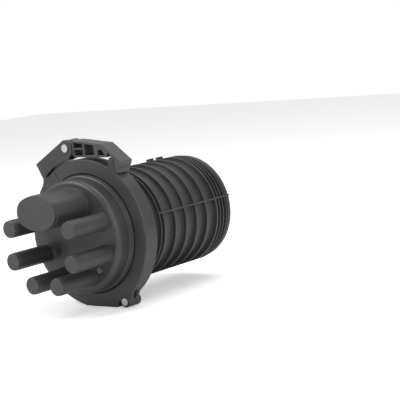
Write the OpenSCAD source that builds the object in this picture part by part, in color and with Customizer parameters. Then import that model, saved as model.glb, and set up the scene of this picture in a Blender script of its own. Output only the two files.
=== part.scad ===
// Dome splice closure: a base with cable ports and a ribbed dome, held
// together by a hinged V-profile clamp that a lever latches.
// The closure's axis is Y: ports toward -Y, dome toward +Y, +Z up.
// Ring angles are measured from +X toward +Z, as seen from the ports.

/* [Clamp] */
// Outer radius of the clamp ring
clamp_r = 120; // [116:1:130]
// Width of the clamp along the axis
clamp_w = 28; // [26:1:34]
// Thickness of the clamp outside its groove
clamp_wall = 8.5; // [7:0.5:10]
// Depth of the V groove, from its lips to its bottom
groove_deep = 14; // [12:0.5:15]
// Thickness of a lip at its inner edge
lip_t = 3.5; // [2.5:0.5:4]
// Taper of the groove's sides, from the radial plane
taper_a = 23.5; // [15:0.5:25]
// Ring angle of the split below the latch
split_a = 121; // [118:1:123]
// Gap between the two halves
split_gap = 0.9; // [0.4:0.1:1]
// Clearance between parts that meet
gap = 0.3; // [0.2:0.05:0.4]

/* [Hinge] */
// Ring angle of the hinge pin
hinge_a = -60; // [-62:1:-58]
// Distance of the hinge pin outside the clamp ring
hinge_out = 5.3; // [4.5:0.1:6]
// Outer radius of a knuckle
knuckle_r = 9.4; // [8.5:0.1:10]
// Number of knuckles, shared in turn by the halves
knuckles = 4; // [2:2:6]
// Radius of the hinge pin
hinge_pin_r = 3.2; // [2.5:0.1:4]
// Left end of the flat foot, measured from the axis
foot_left = 24; // [10:1:30]
// Right end of the flat foot, measured from the axis
foot_right = 44; // [30:1:46]

/* [Latch] */
// Ring angle of the latch pin
latch_a = 102.3; // [101:0.1:104]
// Distance of the latch pin outside the clamp ring
latch_out = 21.4; // [20.5:0.1:22.5]
// Radius of the latch pin
latch_pin_r = 4; // [3:0.1:5]
// Radius of the ear's boss round the latch pin
boss_r = 13; // [11:0.5:13]
// Width of the lever's tongue
tongue_w = 11.4; // [8:0.2:14]
// Width of the slot between the ear and the ring
ear_slot = 3.4; // [3.2:0.1:4]
// Thickness of the lever's walls and ribs
lever_wall = 3; // [2:0.5:3.5]
// Depth of the pockets in each face of the lever
pocket_d = 12; // [8:0.5:12.5]

/* [Base] */
// Step from the clamp's lips down to the barrel
barrel_step = 5.5; // [4:0.5:7]
// Distance from the clamp's front face to the base's front face
barrel_len = 34; // [30:1:44]
// Rounding of the barrel's front edge
barrel_round = 8; // [3:0.5:10]
// Thickness of the base's walls
base_wall = 5; // [4:0.5:6]
// Clearance between the clamp's lips and the shoulders under them
shoulder_gap = 2; // [1.5:0.25:3]

/* [Ports] */
// Length of the ports in front of the base
port_len = 78; // [60:1:100]
// Outer radius of a round port
port_r = 14.2; // [12:0.1:15]
// Wall of the ports
port_wall = 2.8; // [2:0.1:4]
// Distance from the barrel's side to the round ports' centres
port_rim = 24.2; // [22:0.2:26]
// Width of the oval port
oval_w = 82; // [70:1:84]
// Height of the oval port
oval_h = 56; // [48:1:57]
// Distance from the barrel's side to the oval port's top
oval_rim = 12.5; // [10:0.5:15]

/* [Dome] */
// Length of the dome behind the clamp's front face
dome_len = 264; // [262:1:300]
// Step from the barrel's radius down to the dome's wall
dome_step = 6; // [5:0.5:9]
// Thickness of the dome's wall
dome_wall = 3.5; // [3:0.25:4.5]
// Height of the ribs on the dome's wall
rib_h = 6.2; // [4:0.1:7]
// Thickness of a main rib
rib_t = 3.5; // [2:0.5:5]
// Distance from the clamp's front face to the first main rib
rib_start = 82; // [78:1:86]
// Distance between main ribs
rib_pitch = 28; // [24:0.5:28.5]
// Number of main ribs
rib_count = 6; // [4:1:6]
// Ring angle of the first long fin
fin_a = 13; // [0:1:40]
// Thickness of a long fin
fin_t = 2.6; // [2:0.2:4]

/* [Inside] */
// Ring angle of the backbone
inner_a = -40; // [-60:5:-20]
// Thickness of the folded sheet bracket
sheet_t = 2; // [1.5:0.25:2.5]
// Outer width of the bracket
bracket_w = 96; // [90:1:98]
// Outer depth of the bracket
bracket_d = 70; // [60:1:74]
// Height of the bracket's top edge above the clamp's front face
bracket_top = 62; // [50:1:62]
// Number of splice trays
tray_count = 8; // [4:1:8]
// Clearance between a tray's far end and the dome's wall
tray_room = 9; // [7:0.5:14]
// Width of a tray
tray_w = 96; // [80:1:100]
// Height of a tray's rim
tray_h = 8; // [6:0.5:8.5]
// Distance between trays along the axis
tray_pitch = 13; // [12.5:0.5:13.5]
// Tilt of the trays
tray_tilt = 35; // [30:1:36]

/* [Hidden] */
$fn = 48;

eps = 0.5;                                  // overlap of fused solids
running = 0.06;                             // radial clearance of a pin
mid = clamp_w / 2;                          // seam of base and dome
groove_r = clamp_r - clamp_wall;
lip_r = groove_r - groove_deep;
shoulder_r = lip_r - shoulder_gap;
barrel_r = lip_r - barrel_step;
dome_r = barrel_r - dome_step;
port_pcd_r = barrel_r - port_rim;
oval_off = barrel_r - oval_rim - oval_h / 2;
flange_r = groove_r - gap;
edge = 1.5;                                 // chamfer of the clamp's edges
drawn_r = 120;                              // ring the latch's outlines suit
hinge_off = clamp_r + hinge_out;
latch_off = clamp_r + latch_out * clamp_r / drawn_r;
foot_z = hinge_off * sin(hinge_a) - knuckle_r - 0.6;
hinge = [hinge_off * cos(hinge_a), hinge_off * sin(hinge_a)];
latch = [latch_off * cos(latch_a), latch_off * sin(latch_a)];
knuckle_in = 0.4;                           // set back from the clamp's faces
knuckle_len = (clamp_w - 2 * knuckle_in - gap * (knuckles - 1)) / knuckles;
tongue_y = (clamp_w - tongue_w) / 2;
face_y = -barrel_len;                       // front of the base
floor_y = face_y + base_wall;               // inside of the base's front
cup_r = barrel_r - base_wall;
port_end = face_y - port_len;
port_angles = [-157.5, -112.5, -67.5, -22.5, 22.5, 157.5];
seal_r = 2.15;                              // section of the seal ring
seal_at = lip_r + 3.5;                      // its distance from the axis
seal_room = 4.2;                            // depth of its groove
boss_h = 4;                                 // height of the bosses on the front
dome_in = dome_r - dome_wall;
tray_base = bracket_top + 30;               // centre of the first tray
hook_x = 70.5;                              // foot of the catch's far face

function polar(r, a) = [r * cos(a), r * sin(a)];
function unit(v) = v / norm(v);
// Scales an outline drawn for a ring of radius drawn_r to the clamp
function fitted(points) = points * (clamp_r / drawn_r);
// Points of an arc about c, from angle a0 to a1
function arc(c, r, a0, a1, n = 8) =
    [for (i = [0:n]) c + polar(r, a0 + (a1 - a0) * i / n)];
// First point where a line from p along d meets a circle about the axis
function ring_hit(p, d, r) = p + d * (-p * d - sqrt(pow(p * d, 2) - p * p + r * r));
// Place of the clamp groove's front side at radius r
function groove_y(r) = lip_t + (r - lip_r) * tan(taper_a);
// Place of a flange's tapered side, clear of the groove
function taper_y(r) = groove_y(r) + gap / cos(taper_a);

// Turns a profile of radius and place along Y between two ring angles
module turned(a0 = 0, a1 = 360) {
    rotate([-90, 0, 0]) rotate([0, 0, -a1])
        rotate_extrude(angle = a1 - a0, $fn = 180) children();
}

// Extrudes an outline in X and Z from y0 to y1
module slab(y0, y1) {
    translate([0, y1, 0]) rotate([90, 0, 0]) linear_extrude(y1 - y0) children();
}

// Moves a piece drawn from the clamp's front face to the part's origin,
// the centre of the base's front face
module from_clamp() {
    translate([0, barrel_len, 0]) children();
}

// A rod along Y at p in X and Z
module rod(p, r, y0, y1) {
    translate([p[0], y0, p[1]]) rotate([-90, 0, 0]) cylinder(r = r, h = y1 - y0);
}

// A box from corner a to corner b
module box(a, b) {
    translate(a) cube(b - a);
}

module wedge2d(a0, a1, r) {
    polygon(concat([[0, 0]], arc([0, 0], r, a0, a1, 4)));
}

// ---- Clamp ----

module clamp_profile() {
    polygon([
        [lip_r, 0], [clamp_r - edge, 0], [clamp_r, edge],
        [clamp_r, clamp_w - edge], [clamp_r - edge, clamp_w], [lip_r, clamp_w],
        [lip_r, clamp_w - lip_t], [groove_r, clamp_w - groove_y(groove_r)],
        [groove_r, groove_y(groove_r)], [lip_r, lip_t]
    ]);
}

// The ring between two split faces, each half a split gap back
module clamp_arc(a0, a1) {
    back = asin(split_gap / 2 / clamp_r);
    turned(a0 + back, a1 - back) clamp_profile();
}

// Lugs and knuckles at every second place along the pin
module knuckle_row(first, grow = 0) {
    for (i = [first:2:knuckles - 1]) {
        y0 = knuckle_in + i * (knuckle_len + gap);
        rod(hinge, knuckle_r + grow, y0 - grow, y0 + knuckle_len + grow);
    }
}

// Gussets from the ring to the knuckles of the half on one side
module knuckle_lugs(first, side) {
    reach = 13;
    for (i = [first:2:knuckles - 1]) {
        y0 = knuckle_in + i * (knuckle_len + gap);
        slab(y0, y0 + knuckle_len) difference() {
            polygon([
                hinge, hinge + polar(knuckle_r - eps, hinge_a),
                polar(clamp_r - 1, hinge_a + side * reach),
                polar(clamp_r - 4, hinge_a + side * reach),
                polar(clamp_r - 4, hinge_a)
            ]);
            circle(r = clamp_r - 4, $fn = 180);
        }
    }
}

ear_tip = fitted(polar(150.8, 131.3));
ear_root = polar(clamp_r + 2.8, 134.5);
ear_neck_a = 130.6;
ear_right = polar(clamp_r - 1, 106.5);

// Outline of the fixed ear, its slot and the fillet to the ring
module ear_outline() {
    d = unit(ear_root - ear_tip);
    n = [d[1], -d[0]];
    round_r = 12;
    c = ring_hit(ear_tip + n * round_r, d, clamp_r + round_r);
    to_tip = atan2(ear_tip[1] - latch[1], ear_tip[0] - latch[0]) + 360;
    tangent_a = to_tip - acos(boss_r / norm(ear_tip - latch));
    difference() {
        union() {
            polygon([
                ear_tip, latch + polar(boss_r - 0.2, tangent_a), latch,
                latch + [boss_r - 0.2, -1], latch + [boss_r - 0.2, -9], ear_right,
                polar(clamp_r - 1, 120), polar(clamp_r - 3, 134), ear_root
            ]);
            translate(latch) circle(r = boss_r);
        }
        intersection() {
            circle(r = clamp_r + ear_slot, $fn = 180);
            wedge2d(95, ear_neck_a, clamp_r + 20);
        }
    }
    difference() {
        polygon([
            c - n * (round_r + 1), c, unit(c) * (clamp_r - 1),
            polar(clamp_r - 2, 142), polar(clamp_r - 2, 134)
        ]);
        translate(c) circle(r = round_r + 0.2);
    }
}

// Outline of the foot's pad before its flat is cut
module foot_outline() {
    difference() {
        polygon([
            [-foot_left, foot_z - 2], [foot_right - 1.2, foot_z - 2],
            [foot_right + 3, foot_z + 5], [foot_right + 3, -clamp_r + 20],
            [-foot_left, -clamp_r + 20]
        ]);
        circle(r = clamp_r - 4, $fn = 180);
    }
}

module clamp_left() {
    color("#2b2a29") from_clamp() difference() {
        union() {
            difference() {
                union() {
                    clamp_arc(split_a, hinge_a + 360);
                    slab(1, clamp_w - 1) foot_outline();
                }
                knuckle_row(0, gap);
                box([-clamp_r, -eps, foot_z - 9], [foot_right + 2, clamp_w + eps, foot_z]);
            }
            difference() {
                slab(0, clamp_w) ear_outline();
                rod(latch, 20.5, tongue_y - gap, clamp_w - tongue_y + gap);
            }
            knuckle_row(1);
            knuckle_lugs(1, -1);
        }
        rod(hinge, hinge_pin_r + running, -eps, clamp_w + eps);
        rod(latch, latch_pin_r + running, -eps, clamp_w + eps);
    }
}

module clamp_right() {
    color("#2b2a29") from_clamp() difference() {
        union() {
            difference() {
                clamp_arc(hinge_a, split_a);
                knuckle_row(1, gap);
            }
            slab(0, clamp_w) difference() {
                polygon(fitted([
                    [hook_x - 14, 103], [hook_x - 13.5, 109], [hook_x - 10, 121],
                    [hook_x - 8, 121.6], [hook_x - 3.5, 118.2],
                    [hook_x - 2.2, 115.2], [hook_x, 97], [hook_x, 91]
                ]));
                circle(r = clamp_r - 4, $fn = 180);
            }
            knuckle_row(0);
            knuckle_lugs(0, 1);
        }
        rod(hinge, hinge_pin_r + running, -eps, clamp_w + eps);
    }
}

module hinge_pin() {
    color("silver") from_clamp() {
        front = knuckle_in - gap;
        rod(hinge, hinge_pin_r, front - eps, clamp_w - front + eps);
        rod(hinge, 6, front - 1.8, front);
        rod(hinge, 5, clamp_w - front, clamp_w - front + 1.4);
    }
}

// ---- Latch ----

module latch_pin() {
    color("silver") from_clamp() {
        rod(latch, latch_pin_r, -eps, clamp_w + eps);
        rod(latch, 6.5, -2.2, -0.05);
        rod(latch, 5.6, clamp_w + 0.05, clamp_w + 1.6);
    }
}

lever_kink = [47.8, 142.7];
lever_tip = [83.6, 114.6];
lever_start = [-15, 150.1];
lever_low = 121.8;                          // underside of the lever

// Side outline of the lever: arm, sloping end and hook
module lever_outline() {
    slope = unit(lever_tip - lever_kink);
    in = [slope[1], -slope[0]] * lever_wall;
    polygon(fitted([
        lever_start, lever_kink, lever_tip, lever_tip + [-0.8, -4],
        [hook_x + 6.8, 102.5], [hook_x + 4.4, 96], [hook_x + 1.2, 97.6],
        [hook_x + 0.6, 98.6], [hook_x + 0.6, 102], [hook_x - 1, 117],
        lever_kink + in + slope * 17, [hook_x - 13.5, lever_low + 3],
        [hook_x - 15, lever_low], [-12, lever_low + 1.4], [-15, lever_low + 6]
    ]));
}

module lever_pockets() {
    top = 145.6;
    low = lever_low + lever_wall;
    polygon(fitted([[-12, 138], [-12, top + 1.2], [7, top - 1], [7, 138]]));
    polygon(fitted([[-12, low + 1], [-12, 135], [7, 135], [7, low + 1]]));
    polygon(fitted([[11, low + 1], [11, top - 1.6], [31, top - 4], [31, low + 1]]));
    polygon(fitted([
        [38, low + 0.5], [38, 133], [46, 134.5],
        [hook_x - 18.5, low + 2], [hook_x - 19.5, low + 0.5]
    ]));
}

module latch_lever() {
    color("#3a3937") from_clamp() difference() {
        union() {
            slab(0, clamp_w) difference() {
                lever_outline();
                translate(latch) circle(r = boss_r + 0.6);
            }
            slab(tongue_y, clamp_w - tongue_y) union() {
                translate(latch) circle(r = boss_r - 0.4);
                polygon(concat(
                    [latch + [0, boss_r - 0.4]],
                    fitted([
                        lever_start, lever_start + [2, -1.1],
                        [-13, lever_low + 4], [-15, lever_low + 6]
                    ]),
                    [latch - [0, boss_r - 0.4]]
                ));
            }
        }
        slab(-eps, pocket_d) lever_pockets();
        slab(clamp_w - pocket_d, clamp_w + eps) lever_pockets();
        rod(latch, latch_pin_r + running, -eps, clamp_w + eps);
    }
}

// ---- Base ----

// A straight-sided oval, for the trays
module oval2d(w, h) {
    square([w - h, h], center = true);
    for (s = [-1, 1]) translate([s * (w - h) / 2, 0]) circle(d = h, $fn = 96);
}

// A four-arc oval with small arcs of radius r at its ends
function arc_oval(w, h, r) =
    let (
        b = w / 2 - r,
        big = (b * b + h * h / 4 - r * r) / (h - 2 * r),
        drop = big - h / 2,
        a = atan2(drop, b)
    )
    concat(
        arc([b, 0], r, -a, a, 16), arc([0, -drop], big, a, 180 - a, 20),
        arc([-b, 0], r, 180 - a, 180 + a, 16), arc([0, drop], big, 180 + a, 360 - a, 20)
    );

module oval_slab(y0, y1, inset = 0) {
    slab(y0, y1) translate([0, oval_off])
        polygon(arc_oval(oval_w - 2 * inset, oval_h - 2 * inset, oval_h * 0.41 - inset));
}

module base_shell() {
    turned() polygon(concat(
        [[0, face_y]],
        arc([barrel_r - barrel_round, face_y + barrel_round], barrel_round, -90, 0),
        [
            [barrel_r, -7], [barrel_r + 2.5, -6], [barrel_r + 2.5, -3.2],
            [shoulder_r, -2.2], [shoulder_r, taper_y(shoulder_r)],
            [flange_r, taper_y(flange_r)], [flange_r, mid - gap / 2],
            [seal_at + seal_r + gap, mid - gap / 2],
            [seal_at + seal_r + gap, mid - gap / 2 - seal_room],
            [seal_at - seal_r - gap, mid - gap / 2 - seal_room],
            [seal_at - seal_r - gap, mid - gap / 2],
            [cup_r, mid - gap / 2], [cup_r, floor_y + 3], [cup_r - 3, floor_y],
            [0, floor_y]
        ]
    ));
}

// A round port: collar at its root, a step and a chamfer at its end
module round_port(a) {
    p = polar(port_pcd_r, a);
    rod(p, port_r, port_end + 6, face_y + eps);
    rod(p, port_r - 0.5, port_end + 1.2, port_end + 6.5);
    translate([p[0], port_end, p[1]]) rotate([-90, 0, 0])
        cylinder(r1 = port_r - 1.7, r2 = port_r - 0.5, h = 1.2);
    rod(p, port_r + 1, face_y - 2.5, face_y + eps);
}

module oval_port() {
    oval_slab(port_end + 6, face_y + eps);
    oval_slab(port_end, port_end + 6.5, 0.6);
    oval_slab(face_y - 5, face_y + eps, -1.4);
}

module base() {
    color("#2b2a29") from_clamp() difference() {
        union() {
            base_shell();
            for (a = port_angles) round_port(a);
            oval_port();
            rod(valve_at, 7, face_y - boss_h, face_y + eps);
            rod(stud_at, 5.5, face_y - boss_h / 2, face_y + eps);
            for (s = [-1, 1])
                rod(polar(bracket_foot, inner_a) * s, 5, floor_y - eps, foot_y - gap);
        }
        for (a = port_angles)
            rod(polar(port_pcd_r, a), port_r - port_wall, port_end + port_wall, floor_y + eps);
        oval_slab(port_end + port_wall, floor_y + eps, port_wall);
        rod(valve_at, valve_r + running, face_y - boss_h - eps, floor_y + eps);
        rod(stud_at, stud_r + running, face_y - boss_h, floor_y + eps);
        for (s = [-1, 1])
            rod(polar(bracket_foot, inner_a) * s, 1.75, floor_y, foot_y);
    }
}

// Places and radii of the pressure valve and the earth stud
valve_at = polar(barrel_r - 45.1, 211.5);
valve_r = 3;
stud_at = polar(barrel_r - 20.8, -46);
stud_r = 2.5;

module seal_ring() {
    color("#141414") from_clamp() turned()
        translate([seal_at, mid - gap / 2 - seal_room + seal_r + 0.1]) circle(r = seal_r);
}

module earth_stud() {
    color("silver") from_clamp() {
        head = face_y - boss_h / 2 - 0.05;
        rod(stud_at, stud_r, head - eps, floor_y + 7);
        rod(stud_at, 4.2, head - 2.4, head);
    }
}

module earth_nut() {
    color("silver") from_clamp() difference() {
        rod_hex(stud_at, 4.6, floor_y + 0.1, floor_y + 4.1);
        rod(stud_at, stud_r + running, floor_y - eps, floor_y + 5);
    }
}

// A six-sided bar along Y
module rod_hex(p, r, y0, y1) {
    translate([p[0], y0, p[1]]) rotate([-90, 0, 0]) cylinder(r = r, h = y1 - y0, $fn = 6);
}

module pressure_valve() {
    color("#1d1d1c") from_clamp() difference() {
        union() {
            rod(valve_at, valve_r, face_y - boss_h - eps, floor_y + 2);
            rod(valve_at, valve_r + 2, face_y - boss_h - 3, face_y - boss_h - 0.05);
        }
        rod(valve_at, valve_r - 1.4, face_y - boss_h - 3 - eps, floor_y - 1);
    }
}

// ---- Dome ----

module dome_shell() {
    end_r = 4;
    band = dome_r + rib_h - 1.7;
    polygon(concat(
        [
            [dome_in + 5, mid + gap / 2], [flange_r, mid + gap / 2],
            [flange_r, clamp_w - taper_y(flange_r)],
            [shoulder_r, clamp_w - taper_y(shoulder_r)], [shoulder_r, clamp_w + 1],
            [shoulder_r - 2, clamp_w + 3], [dome_r + 5, clamp_w + 4.5],
            [dome_r + 1.5, clamp_w + 9], [dome_r, clamp_w + 20],
            [dome_r, dome_len - 11], [band, dome_len - 10]
        ],
        arc([band - end_r, dome_len - end_r], end_r, 0, 90),
        [[band - 22, dome_len], [band - 24, dome_len - 1.5], [0, dome_len - 1.5]],
        [[0, dome_len - 1.5 - dome_wall], [dome_in - 10, dome_len - 1.5 - dome_wall]],
        arc([dome_in - 10, dome_len - 11.5 - dome_wall], 10, 90, 0),
        [[dome_in, clamp_w + 14], [dome_in + 5, clamp_w + 4]]
    ));
}

module rib2d(y, t) {
    translate([dome_r - 1, y - t / 2]) square([rib_h + 1, t]);
}

// Two lugs on the upper fin
lug_places = [rib_start + 106, rib_start + 131];
lug_w = 6;
lug_h = 4;

module dome() {
    thin = 2;
    color("#2b2a29") from_clamp() {
        turned() {
            dome_shell();
            for (i = [0:rib_count - 1]) rib2d(rib_start + i * rib_pitch, rib_t);
            rib2d(rib_start - 9.5, thin);
            for (i = [1:3]) rib2d(rib_start + (rib_count - 1) * rib_pitch + i * 8.4, thin);
        }
        for (i = [0:3]) rotate([0, -fin_a - 90 * i, 0])
            box([dome_r - 1, rib_start - 11, -fin_t / 2], [dome_r + rib_h, dome_len - 1, fin_t / 2]);
        for (y = lug_places) rotate([0, -fin_a - 90, 0])
            box([dome_r - 1, y, -lug_w / 2], [dome_r + rib_h + lug_h, y + 13, lug_w / 2]);
    }
}

// ---- Inside ----

bracket_foot = 36;                          // place of the feet's screws
foot_y = floor_y + 5.3;                     // underside of the bracket's feet
spine_x = bracket_w / 2 + gap;              // inner face of the backbone's web
spine_w = 30;
spine_wall = 2.5;
spine_deep = 12;
spine_low = 26;
spine_top = tray_base + tray_count * tray_pitch + 18;
tray_x0 = -spine_x + 1.5;                   // end of a tray near the backbone
tray_len = dome_in - tray_room - tray_x0;
strap_w = 12;
strap_t = 1.2;
strap_rise = strap_w / 2 * tan(tray_tilt) + tray_h / 2 / cos(tray_tilt) + 2 * gap;
strap_z0 = tray_base - strap_rise;
strap_z1 = tray_base + (tray_count - 1) * tray_pitch + strap_rise;

// Stands a piece modelled with +Z along the axis, backbone toward -X
module stood() {
    rotate([0, 180 - inner_a, 0]) rotate([-90, 0, 0]) children();
}

// A C-shaped cable-tie slot, cut across a sheet
module c_slot(h) {
    difference() {
        cylinder(r = 9, h = h, center = true);
        cylinder(r = 6.5, h = h + 1, center = true);
        translate([9, 0, 0]) cube([12, 6, h + 1], center = true);
    }
}

module bracket() {
    w = bracket_w / 2;
    d = bracket_d / 2;
    color("#333333") from_clamp() stood() difference() {
        union() {
            for (s = [-1, 1]) {
                box([s * w - (s + 1) / 2 * sheet_t, -d, foot_y],
                    [s * w + (1 - s) / 2 * sheet_t, d, bracket_top]);
                box([min(s * w, s * (w - 22)), -14, foot_y],
                    [max(s * w, s * (w - 22)), 14, foot_y + sheet_t]);
            }
            box([-w, d - sheet_t, foot_y + 18], [w, d, bracket_top]);
        }
        for (s = [-1, 1]) {
            translate([s * bracket_foot, 0, foot_y]) cylinder(r = 2.2, h = 20, center = true);
            translate([s * w, 0, 44]) rotate([0, 90, 0]) cylinder(r = 5, h = 12, center = true);
            for (z = [8, 26]) for (y = [-20, 20])
                translate([w, y, z]) rotate([0, 90, 0]) c_slot(12);
            translate([s * 26, d, 50]) rotate([90, 0, 0]) cylinder(r = 2.5 + running, h = 12, center = true);
        }
        for (x = [-30, 0, 30])
            translate([x, d, 22]) rotate([90, 0, 0]) c_slot(12);
        translate([0, d, 50]) rotate([90, 0, 0]) cylinder(r = 6, h = 12, center = true);
        for (z = spine_bolts)
            translate([-w, 0, z]) rotate([0, 90, 0]) cylinder(r = 2.2, h = 12, center = true);
    }
}

spine_bolts = [32, 56];

module bracket_screws() {
    color("silver") from_clamp() for (s = [-1, 1])
        stood() translate([s * bracket_foot, 0, 0]) {
            translate([0, 0, floor_y + 0.5]) cylinder(r = 1.7, h = foot_y + sheet_t - floor_y);
            translate([0, 0, foot_y + sheet_t + 0.05]) cylinder(r = 3.6, h = 2.4);
        }
}

module backbone() {
    x0 = -spine_x - spine_deep;
    color("#1f1f1f") from_clamp() stood() difference() {
        box([x0, -spine_w / 2, spine_low], [-spine_x, spine_w / 2, spine_top]);
        box([x0 + spine_wall, -spine_w / 2 + spine_wall, bracket_top + 2],
            [-spine_x + 1, spine_w / 2 - spine_wall, spine_top + 1]);
        box([x0 - 1, -spine_w / 2 + spine_wall, spine_low - 1],
            [-spine_x - spine_wall, spine_w / 2 - spine_wall, bracket_top]);
        for (z = spine_bolts)
            translate([x0, 0, z]) rotate([0, 90, 0]) cylinder(r = 2.2, h = 30);
        for (i = [0:tray_count - 1]) {
            z = tray_base + i * tray_pitch;
            translate([-spine_x - 6, 0, z]) rotate([90, 0, 0]) cylinder(r = 2.1, h = spine_w + 1, center = true);
            box([x0 - 1, -7, z - 3], [x0 + spine_wall + 1, 7, z + 2]);
        }
        for (z = [strap_z0 - strap_t - 1, strap_z1 - 1])
            box([x0 - 1, -strap_w / 2 - 1, z], [x0 + spine_wall + 1, strap_w / 2 + 1, z + strap_t + 2]);
    }
}

module backbone_screws() {
    color("silver") from_clamp() for (z = spine_bolts)
        stood() {
            translate([-spine_x - spine_wall - 2.2, 0, z]) rotate([0, 90, 0]) cylinder(r = 4, h = 2.15);
            translate([-spine_x - spine_wall - 1, 0, z]) rotate([0, 90, 0]) cylinder(r = 2, h = 11);
            translate([-bracket_w / 2 + sheet_t + 0.05, 0, z]) rotate([0, 90, 0])
                cylinder(r = 4.2, h = 3, $fn = 6);
        }
}

// A splice tray: floor, rim, two spools, and hinge stubs in the backbone
module tray(i) {
    floor_t = 1.6;
    rim_t = 1.8;
    end = tray_len / 2;
    color("#9b9ea1") from_clamp() stood() translate([0, 0, tray_base + i * tray_pitch]) {
        rotate([-tray_tilt, 0, 0]) {
            translate([tray_x0 + end, 0, -tray_h / 2]) difference() {
                linear_extrude(tray_h) oval2d(tray_len, tray_w);
                translate([0, 0, floor_t]) linear_extrude(tray_h)
                    oval2d(tray_len - 2 * rim_t, tray_w - 2 * rim_t);
                for (a = [45:90:315]) rotate(a) translate([tray_w * 0.36, 0, -1])
                    cylinder(r = 5, h = floor_t + 2);
            }
            for (s = [-1, 1]) translate([tray_x0 + end + s * 26, 0, -tray_h / 2]) difference() {
                cylinder(r = 15, h = tray_h - 1.5);
                translate([0, 0, floor_t]) cylinder(r = 13, h = tray_h);
            }
            box([-spine_x - 7, -6, -2], [tray_x0 + 4, 6, 2]);
        }
        translate([-spine_x - 6, 0, 0]) rotate([90, 0, 0]) cylinder(r = 2, h = spine_w - 2, center = true);
    }
}

module splice_combs() {
    color("#e4e4e0") from_clamp() for (i = [0:tray_count - 1])
        stood() translate([0, 0, tray_base + i * tray_pitch]) rotate([-tray_tilt, 0, 0])
            translate([tray_x0 + tray_len / 2, 33, -tray_h / 2 + 1.7]) difference() {
                translate([-20, -6, 0]) cube([40, 12, 4.5]);
                for (x = [-16:4:16]) translate([x - 1.2, -7, 1.2]) cube([2.4, 14, 5]);
            }
}

// A strap round the stack of trays, through windows in the backbone
module tray_strap() {
    half = strap_w / 2;
    x0 = -spine_x - spine_deep - gap;
    x1 = tray_x0 + tray_len + gap;
    color("#161616") from_clamp() stood() difference() {
        box([x0 - strap_t, -half, strap_z0 - strap_t], [x1 + strap_t, half, strap_z1 + strap_t]);
        box([x0, -half - 1, strap_z0], [x1, half + 1, strap_z1]);
    }
}

module tie_studs() {
    color("silver") from_clamp() for (s = [-1, 1])
        stood() translate([s * 26, bracket_d / 2 + 14, 50]) rotate([90, 0, 0]) cylinder(r = 2.5, h = 24);
}

module tie_nuts() {
    color("#b08d3c") from_clamp() for (s = [-1, 1])
        stood() for (y = [bracket_d / 2 + 4.1, bracket_d / 2 + 10, bracket_d / 2 - sheet_t - 0.1])
            translate([s * 26, y, 50]) rotate([90, 0, 0]) difference() {
                cylinder(r = 4.6, h = 4, $fn = 6);
                translate([0, 0, -1]) cylinder(r = 2.5 + running, h = 6);
            }
}

dome();
base();
seal_ring();
clamp_left();
clamp_right();
hinge_pin();
latch_pin();
latch_lever();
earth_stud();
earth_nut();
pressure_valve();
bracket();
bracket_screws();
backbone();
backbone_screws();
tray(0);  // tray_1
tray(1);  // tray_2
tray(2);  // tray_3
tray(3);  // tray_4
tray(4);  // tray_5
tray(5);  // tray_6
tray(6);  // tray_7
tray(7);  // tray_8
splice_combs();
tray_strap();
tie_studs();
tie_nuts();
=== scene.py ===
import math
import bpy
from mathutils import Matrix, Vector


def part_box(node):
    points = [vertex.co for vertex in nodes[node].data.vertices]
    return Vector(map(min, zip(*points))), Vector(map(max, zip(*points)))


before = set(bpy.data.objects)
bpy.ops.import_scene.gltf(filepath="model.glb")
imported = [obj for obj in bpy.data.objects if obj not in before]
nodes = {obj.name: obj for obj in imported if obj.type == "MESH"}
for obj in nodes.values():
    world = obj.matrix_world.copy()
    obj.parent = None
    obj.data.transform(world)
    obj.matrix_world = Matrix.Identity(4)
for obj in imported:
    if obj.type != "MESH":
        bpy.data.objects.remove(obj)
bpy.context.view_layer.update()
print("frame loaded:", len(nodes), "nodes")

# ---- Settings ----

camSettings = {
    "azimuth": 38.32,         # degrees round from the ports' side
    "elevation": 7.34,
    "roll": -5.77,
    "lens": 117.0,            # on a 36 mm sensor
    "distance": 2.077,        # metres along the view to the clamp's front face
    "right": -0.0857,         # aim, as shares of that distance
    "up": -0.0259,
}
stageSettings = {
    "floor": (0.86, 0.86, 0.86),
    "floorGlow": 0.35,        # light that the camera alone sees on the floor
    "size": 9.0,
    "world": 0.55,
}
lampSettings = [
    {"name": "keyLight", "place": (-1.3, -1.5, 1.7), "target": (0, 0, 0),
     "size": (1.2, 1.2), "power": 38},
    {"name": "fillLight", "place": (1.9, -0.9, 0.9), "target": (0, 0.1, 0),
     "size": (1.4, 1.4), "power": 18},
    {"name": "topLight", "place": (0.3, 0.6, 2.1), "target": (0, 0.15, 0),
     "size": (1.6, 1.6), "power": 26},
]
skinSettings = {
    "edgeRadius": 0.0012,     # metres of rounded edge painted paler as a highlight
    "edgeGain": 5.0,
    "edgeMost": 0.8,
    "cloudMost": 0.22,
    "roughSwing": 0.16,
    "grainHeight": 0.0004,
}
plasticSettings = {
    "base": (0.034, 0.032, 0.031),
    # Paler tone used for the random mottle and for the painted highlight on edges
    "mottleSheenTone": (0.085, 0.081, 0.077),
    "roughness": 0.42,
    "grainScale": 900.0,
    "grainDepth": 0.06,
    "mottleScale": 22.0,
}
steelSettings = {"colour": (0.68, 0.68, 0.67), "roughness": 0.26}


def rightUpForward(azimuth, elevation):
    a, e = math.radians(azimuth), math.radians(elevation)
    right = Vector((math.cos(a), math.sin(a), 0))
    up = Vector((-math.sin(a) * math.sin(e), math.cos(a) * math.sin(e), math.cos(e)))
    forward = Vector((-math.sin(a) * math.cos(e), math.cos(a) * math.cos(e), -math.sin(e)))
    return right, up, forward


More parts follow.
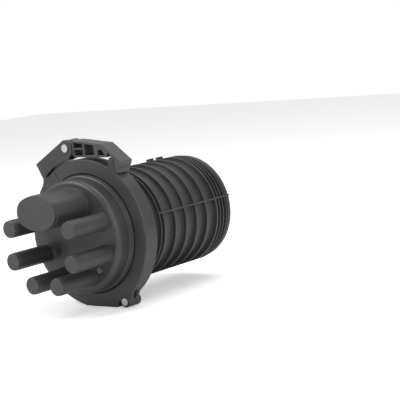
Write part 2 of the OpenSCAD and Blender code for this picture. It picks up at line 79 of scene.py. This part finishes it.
def addCamera(s):
    level, upright, forward = rightUpForward(s["azimuth"], s["elevation"])
    roll = math.radians(s["roll"])
    right = math.cos(roll) * level + math.sin(roll) * upright
    up = math.cos(roll) * upright - math.sin(roll) * level
    front = Vector((0, clampFront, 0))
    place = front - s["distance"] * (s["right"] * right + s["up"] * up + forward)
    data = bpy.data.cameras.new("camera")
    data.lens = s["lens"]
    data.sensor_width = 36.0
    camera = bpy.data.objects.new("camera", data)
    turn = Matrix((right, up, -forward)).transposed().to_4x4()
    camera.matrix_world = Matrix.Translation(place) @ turn
    bpy.context.collection.objects.link(camera)
    bpy.context.scene.camera = camera


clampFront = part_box("clamp_left")[0][1]      # Y of the clamp's front face
addCamera(camSettings)
print("camera placed")

# ---- Floor and light ----


def addArea(name, place, target, size, power):
    data = bpy.data.lights.new(name, "AREA")
    data.shape = "RECTANGLE"
    data.size, data.size_y = size
    data.energy = power
    light = bpy.data.objects.new(name, data)
    light.location = place
    aim = (Vector(target) - Vector(place)).to_track_quat("-Z", "Y")
    light.rotation_euler = aim.to_euler()
    bpy.context.collection.objects.link(light)


def backdropMaterial(name, colour, strength):
    # A plain matt surface that glows a little to the camera alone
    mat = bpy.data.materials.new(name)
    mat.use_nodes = True
    nt = mat.node_tree
    bsdf = nt.nodes["Principled BSDF"]
    bsdf.inputs["Base Color"].default_value = (*colour, 1)
    bsdf.inputs["Roughness"].default_value = 0.9
    bsdf.inputs["Specular IOR Level"].default_value = 0.1
    glow = nt.nodes.new("ShaderNodeEmission")
    glow.inputs["Color"].default_value = (1, 1, 1, 1)
    glow.inputs["Strength"].default_value = strength
    path = nt.nodes.new("ShaderNodeLightPath")
    add = nt.nodes.new("ShaderNodeAddShader")
    mix = nt.nodes.new("ShaderNodeMixShader")
    nt.links.new(bsdf.outputs[0], add.inputs[0])
    nt.links.new(glow.outputs[0], add.inputs[1])
    nt.links.new(path.outputs["Is Camera Ray"], mix.inputs[0])
    nt.links.new(bsdf.outputs[0], mix.inputs[1])
    nt.links.new(add.outputs[0], mix.inputs[2])
    nt.links.new(mix.outputs[0], nt.nodes["Material Output"].inputs["Surface"])
    return mat


def addStage(s):
    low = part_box("clamp_left")[0][2]
    bpy.ops.mesh.primitive_plane_add(size=s["size"], location=(0, 0, low))
    floor = bpy.context.object
    floor.name = "floor"
    floor.data.materials.append(backdropMaterial("paleFloor", s["floor"], s["floorGlow"]))
    world = bpy.data.worlds.new("studio")
    bpy.context.scene.world = world
    world.use_nodes = True
    nt = world.node_tree
    back = nt.nodes["Background"]
    back.inputs["Color"].default_value = (1, 1, 1, 1)
    back.inputs["Strength"].default_value = s["world"]
    seen = nt.nodes.new("ShaderNodeBackground")
    seen.inputs["Color"].default_value = (1, 1, 1, 1)
    seen.inputs["Strength"].default_value = 1.0
    path = nt.nodes.new("ShaderNodeLightPath")
    mix = nt.nodes.new("ShaderNodeMixShader")
    nt.links.new(path.outputs["Is Camera Ray"], mix.inputs[0])
    nt.links.new(back.outputs[0], mix.inputs[1])
    nt.links.new(seen.outputs[0], mix.inputs[2])
    nt.links.new(mix.outputs[0], nt.nodes["World Output"].inputs["Surface"])
    for lamp in lampSettings:
        addArea(**lamp)
    bpy.context.scene.view_settings.view_transform = "Standard"


addStage(stageSettings)
print("floor and lights placed")

# ---- Shared shader groups ----


def newGroup(name, inputs, outputs):
    group = bpy.data.node_groups.new(name, "ShaderNodeTree")
    for label, kind, value in inputs:
        socket = group.interface.new_socket(label, in_out="INPUT", socket_type=kind)
        socket.default_value = value
    for label, kind in outputs:
        group.interface.new_socket(label, in_out="OUTPUT", socket_type=kind)
    return group, group.nodes.new("NodeGroupInput"), group.nodes.new("NodeGroupOutput")


def link(group, source, target):
    group.links.new(source, target)


def mathNode(group, operation, a, b=None):
    node = group.nodes.new("ShaderNodeMath")
    node.operation = operation
    for i, value in enumerate((a, b)):
        if value is None:
            continue
        if isinstance(value, (int, float)):
            node.inputs[i].default_value = value
        else:
            group.links.new(value, node.inputs[i])
    return node.outputs[0]


def mouldedGroup(s):
    # Fine moulded grain, slow mottling and a painted highlight: edges painted paler
    group, gin, gout = newGroup(
        "mouldedSkin",
        [("Base", "NodeSocketColor", (0.03, 0.03, 0.03, 1)),
         ("Mottle Sheen Tone", "NodeSocketColor", (0.09, 0.09, 0.08, 1)),
         ("Roughness", "NodeSocketFloat", 0.45),
         ("Grain Scale", "NodeSocketFloat", 900.0),
         ("Grain Depth", "NodeSocketFloat", 0.05),
         ("Mottle Scale", "NodeSocketFloat", 20.0),
         ("Edge", "NodeSocketFloat", 0.6)],
        [("Color", "NodeSocketColor"), ("Roughness", "NodeSocketFloat"),
         ("Normal", "NodeSocketVector")])
    coord = group.nodes.new("ShaderNodeTexCoord")
    grain = group.nodes.new("ShaderNodeTexNoise")
    grain.inputs["Detail"].default_value = 3.0
    mottle = group.nodes.new("ShaderNodeTexNoise")
    mottle.inputs["Detail"].default_value = 5.0
    for tex, socket in ((grain, "Grain Scale"), (mottle, "Mottle Scale")):
        link(group, coord.outputs["Object"], tex.inputs["Vector"])
        link(group, gin.outputs[socket], tex.inputs["Scale"])
    bevel = group.nodes.new("ShaderNodeBevel")
    bevel.inputs["Radius"].default_value = s["edgeRadius"]
    bevel.samples = 4
    geo = group.nodes.new("ShaderNodeNewGeometry")
    dot = group.nodes.new("ShaderNodeVectorMath")
    dot.operation = "DOT_PRODUCT"
    link(group, bevel.outputs["Normal"], dot.inputs[0])
    link(group, geo.outputs["Normal"], dot.inputs[1])
    # Painted highlight: the colour is lightened along rounded edges, broken up by the mottle
    edge = mathNode(group, "SUBTRACT", 1.0, dot.outputs["Value"])
    edge = mathNode(group, "MULTIPLY", edge, s["edgeGain"])
    edge = mathNode(group, "MULTIPLY", edge, mottle.outputs["Fac"])
    edge = mathNode(group, "MULTIPLY", edge, gin.outputs["Edge"])
    edge = mathNode(group, "MINIMUM", edge, s["edgeMost"])
    cloudy = group.nodes.new("ShaderNodeMapRange")
    cloudy.inputs["From Min"].default_value = 0.35
    cloudy.inputs["From Max"].default_value = 0.7
    cloudy.inputs["To Max"].default_value = s["cloudMost"]
    link(group, mottle.outputs["Fac"], cloudy.inputs["Value"])
    # The paler tone comes from the painted edge highlight plus random mottled clouds
    amount = mathNode(group, "ADD", edge, cloudy.outputs[0])
    mix = group.nodes.new("ShaderNodeMix")
    mix.data_type = "RGBA"
    link(group, amount, mix.inputs["Factor"])
    link(group, gin.outputs["Base"], mix.inputs[6])
    link(group, gin.outputs["Mottle Sheen Tone"], mix.inputs[7])
    link(group, mix.outputs[2], gout.inputs["Color"])
    rough = mathNode(group, "MULTIPLY", mottle.outputs["Fac"], s["roughSwing"])
    rough = mathNode(group, "ADD", rough, gin.outputs["Roughness"])
    rough = mathNode(group, "SUBTRACT", rough, s["roughSwing"] / 2)
    link(group, rough, gout.inputs["Roughness"])
    bump = group.nodes.new("ShaderNodeBump")
    bump.inputs["Distance"].default_value = s["grainHeight"]
    link(group, gin.outputs["Grain Depth"], bump.inputs["Strength"])
    link(group, grain.outputs["Fac"], bump.inputs["Height"])
    link(group, bevel.outputs["Normal"], bump.inputs["Normal"])
    link(group, bump.outputs["Normal"], gout.inputs["Normal"])
    return group


mouldedSkin = mouldedGroup(skinSettings)


def moulded(name, base, mottleSheenTone, roughness, grainScale=900.0, grainDepth=0.06,
            mottleScale=22.0, edge=0.6):
    mat = bpy.data.materials.new(name)
    mat.use_nodes = True
    nt = mat.node_tree
    bsdf = nt.nodes["Principled BSDF"]
    skin = nt.nodes.new("ShaderNodeGroup")
    skin.node_tree = mouldedSkin
    skin.inputs["Base"].default_value = (*base, 1)
    skin.inputs["Mottle Sheen Tone"].default_value = (*mottleSheenTone, 1)
    skin.inputs["Roughness"].default_value = roughness
    skin.inputs["Grain Scale"].default_value = grainScale
    skin.inputs["Grain Depth"].default_value = grainDepth
    skin.inputs["Mottle Scale"].default_value = mottleScale
    skin.inputs["Edge"].default_value = edge
    nt.links.new(skin.outputs["Color"], bsdf.inputs["Base Color"])
    nt.links.new(skin.outputs["Roughness"], bsdf.inputs["Roughness"])
    nt.links.new(skin.outputs["Normal"], bsdf.inputs["Normal"])
    return mat


def metal(name, colour, roughness):
    mat = bpy.data.materials.new(name)
    mat.use_nodes = True
    nt = mat.node_tree
    bsdf = nt.nodes["Principled BSDF"]
    bsdf.inputs["Base Color"].default_value = (*colour, 1)
    bsdf.inputs["Metallic"].default_value = 1.0
    coord = nt.nodes.new("ShaderNodeTexCoord")
    noise = nt.nodes.new("ShaderNodeTexNoise")
    noise.inputs["Scale"].default_value = 420.0
    noise.inputs["Detail"].default_value = 4.0
    nt.links.new(coord.outputs["Object"], noise.inputs["Vector"])
    rough = nt.nodes.new("ShaderNodeMapRange")
    rough.inputs["To Min"].default_value = roughness - 0.06
    rough.inputs["To Max"].default_value = roughness + 0.12
    nt.links.new(noise.outputs["Fac"], rough.inputs["Value"])
    nt.links.new(rough.outputs[0], bsdf.inputs["Roughness"])
    bump = nt.nodes.new("ShaderNodeBump")
    bump.inputs["Strength"].default_value = 0.15
    bump.inputs["Distance"].default_value = 0.0002
    nt.links.new(noise.outputs["Fac"], bump.inputs["Height"])
    nt.links.new(bump.outputs["Normal"], bsdf.inputs["Normal"])
    return mat


def dress(mat, *names):
    for name in names:
        data = nodes[name].data
        data.materials.clear()
        data.materials.append(mat)


p = plasticSettings
mouldedBlack = moulded("mouldedBlack", p["base"], p["mottleSheenTone"], p["roughness"],
                       p["grainScale"], p["grainDepth"], p["mottleScale"])
leverBlack = moulded("leverBlack", (0.045, 0.043, 0.041), (0.11, 0.105, 0.1), 0.38)
sheetBlack = moulded("sheetBlack", (0.04, 0.04, 0.04), (0.1, 0.1, 0.1), 0.35, 500.0, 0.1)
trayGrey = moulded("trayGrey", (0.36, 0.38, 0.4), (0.5, 0.52, 0.54), 0.4, edge=0.3)
rubberBlack = moulded("rubberBlack", (0.012, 0.012, 0.012), (0.04, 0.04, 0.04), 0.7)
combWhite = moulded("combWhite", (0.72, 0.72, 0.69), (0.8, 0.8, 0.78), 0.6, edge=0.2)
zincSteel = metal("zincSteel", steelSettings["colour"], steelSettings["roughness"])
plainBrass = metal("plainBrass", (0.6, 0.42, 0.16), 0.3)

dress(mouldedBlack, "dome", "base", "clamp_left", "clamp_right", "pressure_valve", "backbone")
dress(leverBlack, "latch_lever")
dress(rubberBlack, "seal_ring", "tray_strap")
dress(sheetBlack, "bracket")
dress(zincSteel, "hinge_pin", "latch_pin", "earth_stud", "earth_nut", "bracket_screws",
      "backbone_screws", "tie_studs")
dress(plainBrass, "tie_nuts")
dress(combWhite, "splice_combs")
dress(trayGrey, *[f"tray_{i}" for i in range(1, 9)])
print("finishes on")
